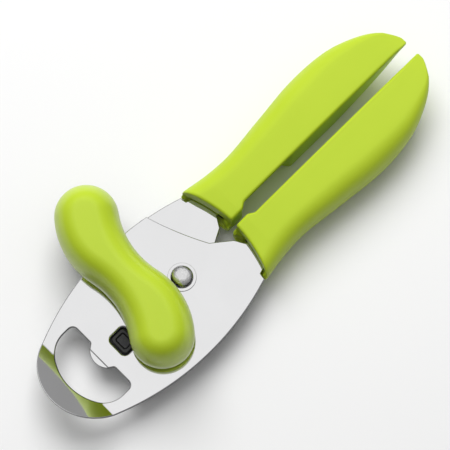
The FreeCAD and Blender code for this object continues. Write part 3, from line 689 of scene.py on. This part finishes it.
def feed_wheel():
    """A wheel with pointed teeth and broken edges."""
    low, high = [level(corner.z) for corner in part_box("feed_wheel")]
    teeth, outer, depth, bore, blunt, broken = 20, 6.5, 0.9, 2.43, 0.12, 0.3
    pitch = 360.0 / teeth
    plan = []
    for tooth in range(teeth):
        gap = pitch * tooth
        plan += [(outer - depth, gap), (outer - blunt, gap + 0.4 * pitch)]
        plan += [(outer, gap + share * pitch) for share in (7 / 15, 8 / 15)]
        plan += [(outer - blunt, gap + 0.6 * pitch)]
    levels = [(0.35, low), (0.0, low + broken), (0.0, high - broken), (0.35, high)]
    rings = []
    for shrink, height in levels:
        rings.append([(SHAFT[0] + (radius - shrink) * math.cos(math.radians(turn)),
                       SHAFT[1] + (radius - shrink) * math.sin(math.radians(turn)), height)
                      for radius, turn in plan])
    hole = [[(SHAFT[0] + bore * math.cos(math.radians(turn)),
              SHAFT[1] + bore * math.sin(math.radians(turn)), height) for _, turn in plan]
            for height in (high, low)]
    points, faces = loft(rings + hole + [rings[0]], False, False)
    keep("feed_wheel_teeth", "feed_wheel", points, faces)


# ---- knob ---------------------------------------------------------------------------------------

KNOB_ANGLE, LOBE, FLANK, WAIST, LOBE_DISTANCE, FLANK_ANGLE = 77.8, 12.8, 32.0, 35.0, 27.8, 61.5


def knob_outline(inset):
    """Two round lobes, each run into the other by a full flank and a waist, turned to its place."""
    lobe, flank, waist = LOBE - inset, FLANK - inset, WAIST + inset
    first, second = (LOBE_DISTANCE, 0.0), (-LOBE_DISTANCE, 0.0)
    flank_centre = arc(first, lobe - flank, FLANK_ANGLE, FLANK_ANGLE, 1)[0]
    gap = math.dist(flank_centre, second)
    run = (gap ** 2 + (flank + waist) ** 2 - (lobe + waist) ** 2) / (2 * gap)
    off = math.sqrt((flank + waist) ** 2 - run ** 2)
    along = ((second[0] - flank_centre[0]) / gap, (second[1] - flank_centre[1]) / gap)
    waist_centre = (flank_centre[0] + run * along[0] + off * along[1],
                    flank_centre[1] + run * along[1] - off * along[0])
    flank_end = heading(flank_centre, waist_centre)
    flank_out = arc(flank_centre, flank, flank_end, flank_end, 1)[0]
    lobe_start = heading(second, waist_centre)
    lobe_in = arc(second, lobe, lobe_start, lobe_start, 1)[0]
    waist_end = heading(waist_centre, lobe_in) % 360 - 360
    half = arc(flank_centre, flank, FLANK_ANGLE, flank_end, 14)[:-1]
    half += arc(waist_centre, waist, heading(waist_centre, flank_out), waist_end, 14)[:-1]
    half += arc(second, lobe, lobe_start, FLANK_ANGLE + 180, 30)[:-1]
    turn = math.radians(KNOB_ANGLE)
    return [(SHAFT[0] + x * math.cos(turn) - y * math.sin(turn),
             SHAFT[1] + x * math.sin(turn) + y * math.cos(turn))
            for x, y in half + [(-x, -y) for x, y in half]]


def knob_shell():
    """The domed knob with a rounded foot and the seat for its cover."""
    low, high = [level(corner.z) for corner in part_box("knob_shell")]
    cover_top = level(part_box("knob_cover")[1].z) + 0.02
    foot, crown_inset, crown_rise, wall = 1.0, 9.4, 13.5, 2.6
    levels = [(wall, cover_top), (wall, low + 0.3), (wall - 0.3, low)]
    levels += [(foot * (1 - math.sin(turn)), low + foot * (1 - math.cos(turn)))
               for turn in [math.pi / 2 * step / 6 for step in range(7)]]
    levels += [(0.0, low + 2.6)]
    crown = [math.pi / 2 * step / 22 for step in range(23)]
    levels += [(crown_inset * (1 - math.cos(turn)), high - crown_rise * (1 - math.sin(turn)))
               for turn in crown]
    rings = [[(x, y, height) for x, y in knob_outline(inset)] for inset, height in levels]
    points, faces = loft(rings)
    keep("knob_shell_dome", "knob_shell", points, faces)


# ---- lid magnet ---------------------------------------------------------------------------------

def magnet_parts():
    low, high = [level(corner.z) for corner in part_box("magnet_holder")]
    points, faces = slab(holder_window(-0.1, 1.6), [holder_window(-1.65, 0.9)], low, high, 0.5)
    flange, more = slab(holder_window(1.1, 2.4), [holder_window(-1.65, 0.9)],
                        -PLATE_THICK - 1.2, -PLATE_THICK - 0.04, 0.3)
    faces += [tuple(corner + len(points) for corner in face) for face in more]
    keep("magnet_holder_frame", "magnet_holder", points + flange, faces, flat_sides=True)
    low, high = [level(corner.z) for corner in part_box("lid_magnet")]
    points, faces = slab(holder_window(-1.75, 0.7), [], low, high, 0.35)
    keep("lid_magnet_block", "lid_magnet", points, faces, flat_sides=True)


# ---- grips --------------------------------------------------------------------------------------

# A grip's cross-sections from its mouth to its end: how far along, and the width, underside and
# top there as shares of the largest ones.
GRIP_STATIONS = [
    (0.000, 0.955, 0.70, 0.80), (0.135, 0.865, 0.78, 0.90), (0.250, 0.838, 0.86, 0.97),
    (0.413, 0.915, 0.97, 1.00), (0.611, 1.000, 1.00, 1.00), (0.773, 0.946, 0.64, 0.98),
    (0.889, 0.757, 0.16, 0.94), (0.961, 0.520, -0.36, 0.88), (1.000, 0.250, -0.45, 0.80),
]
GRIP_MOUTH, GRIP_END, GRIP_TOP, GRIP_BOTTOM, GRIP_INNER = 20.0, 131.3, 9.5, 12.5, 3.0
GRIP_WALL, CAVITY_LOW, CAVITY_UP, TANG_COVER = 1.7, -7.0, 0.9, 4.2
PAD_FACE, PAD_END, RECESS_END, RECESS_DEEP, RECESS_LIP = 1.3, 35.5, 65.0, 3.6, 1.8
CAVITY_END = GRIP_MOUTH + GRIP_STATIONS[3][0] * (GRIP_END - GRIP_MOUTH)
CAVITY_WIDENS = GRIP_STATIONS[1][0] * (GRIP_END - GRIP_MOUTH)
CORNER_SHARE = 0.42
RIM = 0.8
RIM_STATION, RIM_BEHIND, BODY_START = 24.0, 34.0, PAD_END - 1.5


def smoothstep(value, low, high):
    part = min(1.0, max(0.0, (value - low) / (high - low)))
    return part * part * (3 - 2 * part)


def shares(x):
    """The grip's width, underside and top shares at a station, smoothly between the listed ones."""
    part = (x - GRIP_MOUTH) / (GRIP_END - GRIP_MOUTH)
    last = len(GRIP_STATIONS) - 1
    index = max(i for i in range(last) if GRIP_STATIONS[i][0] <= max(part, 0.0))
    here, there = GRIP_STATIONS[index], GRIP_STATIONS[index + 1]
    before, after = GRIP_STATIONS[max(index - 1, 0)], GRIP_STATIONS[min(index + 2, last)]
    span = there[0] - here[0]
    t = (part - here[0]) / span
    found = []
    for column in (1, 2, 3):
        slope_in = (there[column] - before[column]) / (there[0] - before[0]) * span
        slope_out = (after[column] - here[column]) / (after[0] - here[0]) * span
        found.append((2 * t ** 3 - 3 * t ** 2 + 1) * here[column]
                     + (t ** 3 - 2 * t ** 2 + t) * slope_in
                     + (3 * t ** 2 - 2 * t ** 3) * there[column]
                     + (t ** 3 - t ** 2) * slope_out)
    return found


def section(inner, outer, bottom, top):
    """One closed cross-section as (across, up) points: bottom, outer side, top, inner face."""
    big = CORNER_SHARE * min(top - bottom, outer - inner)
    small = min(1.2, 0.5 * big)
    corners = [((inner + small, bottom + small), small, 180, 5),
               ((outer - big, bottom + big), big, 270, 14),
               ((outer - big, top - big), big, 0, 14),
               ((inner + small, top - small), small, 90, 6)]
    between = (7, 5, 7, 34)
    loop = []
    for index, (centre, radius, start, steps) in enumerate(corners):
        loop += arc(centre, radius, start, start + 90, steps)
        follow = corners[(index + 1) % 4]
        here = loop[-1]
        there = arc(follow[0], follow[1], follow[2], follow[2], 1)[0]
        loop += [(here[0] + (there[0] - here[0]) * step / between[index],
                  here[1] + (there[1] - here[1]) * step / between[index])
                 for step in range(1, between[index])]
    return loop


def skin(x):
    """The grip's outer cross-section at a station, with its stop pad and finger recess."""
    width, under, over = shares(x)
    top = GRIP_TOP * over
    bottom = max(-GRIP_BOTTOM * under, REST)
    loop = section(GRIP_INNER, GRIP_HALF_WIDTH * width, bottom, top)
    pad = 1 - smoothstep(x, PAD_END - 0.6, PAD_END + 3.0)
    recess_closes = smoothstep(x, RECESS_END - 3.4, RECESS_END + 0.6)
    recess = smoothstep(x, PAD_END - 0.3, PAD_END + 3.4) * (1 - recess_closes)
    shaped = []
    for y, z in loop:
        near = 1 - smoothstep(y, GRIP_INNER + 1.2, GRIP_INNER + 4.0)
        y -= (GRIP_INNER - PAD_FACE) * pad * near
        below_lip = 1 - smoothstep(z, top - RECESS_LIP - 1.0, top - RECESS_LIP)
        y += max(0.0, GRIP_INNER + RECESS_DEEP - y) * recess * below_lip
        shaped.append((y, z))
    return shaped


def mouth_x(y, z, plate_top):
    """Where the grip's mouth is: straight across below its plate, arched back above it."""
    slope = (MOUTH_OUTER - MOUTH_INNER) / (GRIP_HALF_WIDTH - PAD_FACE)
    below = MOUTH_INNER + (y - PAD_FACE) * slope
    arch = ((29.2, 0.0), (27.5, GRIP_HALF_WIDTH / 2), (23.0, GRIP_HALF_WIDTH))
    centre = circle_through(*arch)
    radius = math.dist(centre, arch[0])
    above = centre[0] + math.sqrt(radius ** 2 - (y - centre[1]) ** 2)
    return below + (above - below) * smoothstep(z, plate_top - 0.3, plate_top + 0.3)


def cavity(x, high):
    """The grip's hollow at a station, widening from the mouth towards the tang."""
    narrow, wide = PAD_FACE + GRIP_WALL, GRIP_INNER + TANG_COVER
    inner = narrow + (wide - narrow) * min(1.0, (x - GRIP_MOUTH) / CAVITY_WIDENS)
    return section(inner, GRIP_HALF_WIDTH * shares(x)[0] - GRIP_WALL, CAVITY_LOW, high)


def grip(side, node, plate_top):
    """A hollow moulding, drawn from the end of its hollow to the mouth and back to its tip."""
    outer_mouth = skin(RIM_STATION)
    high = plate_top + CAVITY_UP
    hollow_mouth = section(PAD_FACE + GRIP_WALL,
                           GRIP_HALF_WIDTH * shares(RIM_STATION)[0] - GRIP_WALL, CAVITY_LOW, high)
    rings = [[(x, y, z) for y, z in cavity(x, high)]
             for x in (CAVITY_END, 58.0, 50.0, 42.0, 37.0, RIM_BEHIND)]
    for step in (0.7, 0.4, 0.15):
        rings.append([(mouth_x(y, z, plate_top) * (1 - step) + RIM_BEHIND * step + RIM, y, z)
                      for y, z in cavity(GRIP_MOUTH + 7.0 + 7.0 * step, high)])
    for part in (0.0, 0.06, 0.14, 0.26, 0.5, 0.74, 0.86, 0.94, 1.0):
        row = []
        for (ay, az), (by, bz) in zip(hollow_mouth, outer_mouth):
            off = min(part, 1 - part) * math.hypot(by - ay, bz - az)
            sink = RIM - math.sqrt(max(0.0, RIM ** 2 - max(0.0, RIM - off) ** 2))
            y, z = ay + (by - ay) * part, az + (bz - az) * part
            row.append((mouth_x(y, z, plate_top) + sink, y, z))
        rings.append(row)
    mouth_rings = 12
    for step in range(1, mouth_rings):
        part = step / mouth_rings
        station = RIM_STATION + (BODY_START - RIM_STATION) * part
        rings.append([((mouth_x(y, z, plate_top) + RIM) * (1 - part) + BODY_START * part, y, z)
                      for y, z in skin(station)])
    # Closely spaced where the stop pad ends and where the finger recess ends.
    stations = [BODY_START + 0.35 * step for step in range(12)]
    stations += [38.5 + 2.2 * step for step in range(10)]
    stations += [60.5 + 0.5 * step for step in range(13)]
    stations += [68.4 + 1.9 * step for step in range(33)]
    rings += [[(x, y, z) for y, z in skin(x)] for x in stations]
    end = skin(GRIP_END - 0.4)
    centre = (sum(y for y, z in end) / len(end), sum(z for y, z in end) / len(end))
    for x, shrink in ((GRIP_END - 0.9, 1.0), (GRIP_END - 0.4, 0.93), (GRIP_END - 0.12, 0.78),
                      (GRIP_END, 0.5)):
        rings.append([(x, centre[0] + (y - centre[0]) * shrink,
                       centre[1] + (z - centre[1]) * shrink)
                      for y, z in skin(min(x, GRIP_END - 0.01))])
    points, faces = loft(rings)
    keep(node + "_moulding", node, [(x, side * y, z) for x, y, z in points], faces)


# ---- all the pieces -----------------------------------------------------------------------------

front_plate()
rear_plate()
pivot_rivet()
ring("pivot_ring", "pivot_washer", 3.03, 5.8)
cutting_wheel()
cutter_axle()
feed_wheel()
knob_shell()
magnet_parts()
grip(-1, "right_grip", 0.0)
grip(1, "left_grip", REAR_TOP)

for node, shown in frame["nodes"].items():
    if shown.hide_render:
        continue
    shown.data.materials.clear()
    shown.data.materials.append(FINISHES[SLOT_OF[node]])


# ---- stage --------------------------------------------------------------------------------------

def floor():
    finish = Finish("pale_floor")
    tone = finish.blend(finish.noise(6.0, 2.0), color(0.86, 0.86, 0.86), color(0.88, 0.88, 0.88))
    finish.surface(Base_Color=tone, Roughness=0.9)
    mesh = bpy.data.meshes.new("floor")
    reach = 4.0
    corners = [(-reach, -reach, 0), (reach, -reach, 0), (reach, reach, 0), (-reach, reach, 0)]
    mesh.from_pydata(corners, [], [(0, 1, 2, 3)])
    mesh.materials.append(finish.material)
    made = bpy.data.objects.new("floor", mesh)
    bpy.context.scene.collection.objects.link(made)


def softbox(name, place, size, power):
    light = bpy.data.lights.new(name, "AREA")
    light.shape = "RECTANGLE"
    light.size, light.size_y = size
    light.energy = power
    made = bpy.data.objects.new(name, light)
    made.location = place
    made.rotation_euler = (-Vector(place)).to_track_quat("-Z", "Y").to_euler()
    made.visible_glossy = False
    bpy.context.scene.collection.objects.link(made)


def studio():
    """A dim room with one broad bright panel overhead, leaning over the grips' left side, so that
    flat steel shines white and its rounded edges draw dark lines."""
    world = bpy.data.worlds.new("studio")
    world.use_nodes = True
    bpy.context.scene.world = world
    nodes, links = world.node_tree.nodes, world.node_tree.links
    where = nodes.new("ShaderNodeTexCoord")
    lean = nodes.new("ShaderNodeVectorMath")
    lean.operation = "DOT_PRODUCT"
    lean.inputs[1].default_value = Vector((0.27, 0.27, 1.0)).normalized()
    ramp = nodes.new("ShaderNodeValToRGB")
    links.new(where.outputs["Generated"], lean.inputs[0])
    links.new(lean.outputs["Value"], ramp.inputs[0])
    links.new(ramp.outputs[0], nodes["Background"].inputs["Color"])
    stops = [(0.30, 0.035), (0.60, 0.30), (0.80, 0.40), (0.90, 0.95)]
    ramp.color_ramp.elements.new(0.5)
    ramp.color_ramp.elements.new(0.6)
    for element, (position, tone) in zip(ramp.color_ramp.elements, stops):
        element.position = position
        element.color = color(tone, tone, tone)


def camera():
    """High over the grips' left, a long way off."""
    azimuth, elevation, distance, lens = -45.0, 78.0, 0.76, 152.0
    turn, tilt = math.radians(azimuth), math.radians(elevation)
    back = Vector((math.sin(turn) * math.cos(tilt),
                   -math.cos(turn) * math.cos(tilt), math.sin(tilt)))
    data = bpy.data.cameras.new("camera")
    data.sensor_width = 36.0
    data.lens = lens
    data.clip_start, data.clip_end = 0.05, 20.0
    made = bpy.data.objects.new("camera", data)
    made.location = at(27.1, 2.9) + back * distance
    made.rotation_euler = (-back).to_track_quat("-Z", "Y").to_euler()
    bpy.context.scene.collection.objects.link(made)
    bpy.context.scene.camera = made


floor()
studio()
softbox("key", (0.40, 0.55, 1.00), (0.9, 0.9), 14.0)
camera()
bpy.context.scene.view_settings.view_transform = "Standard"
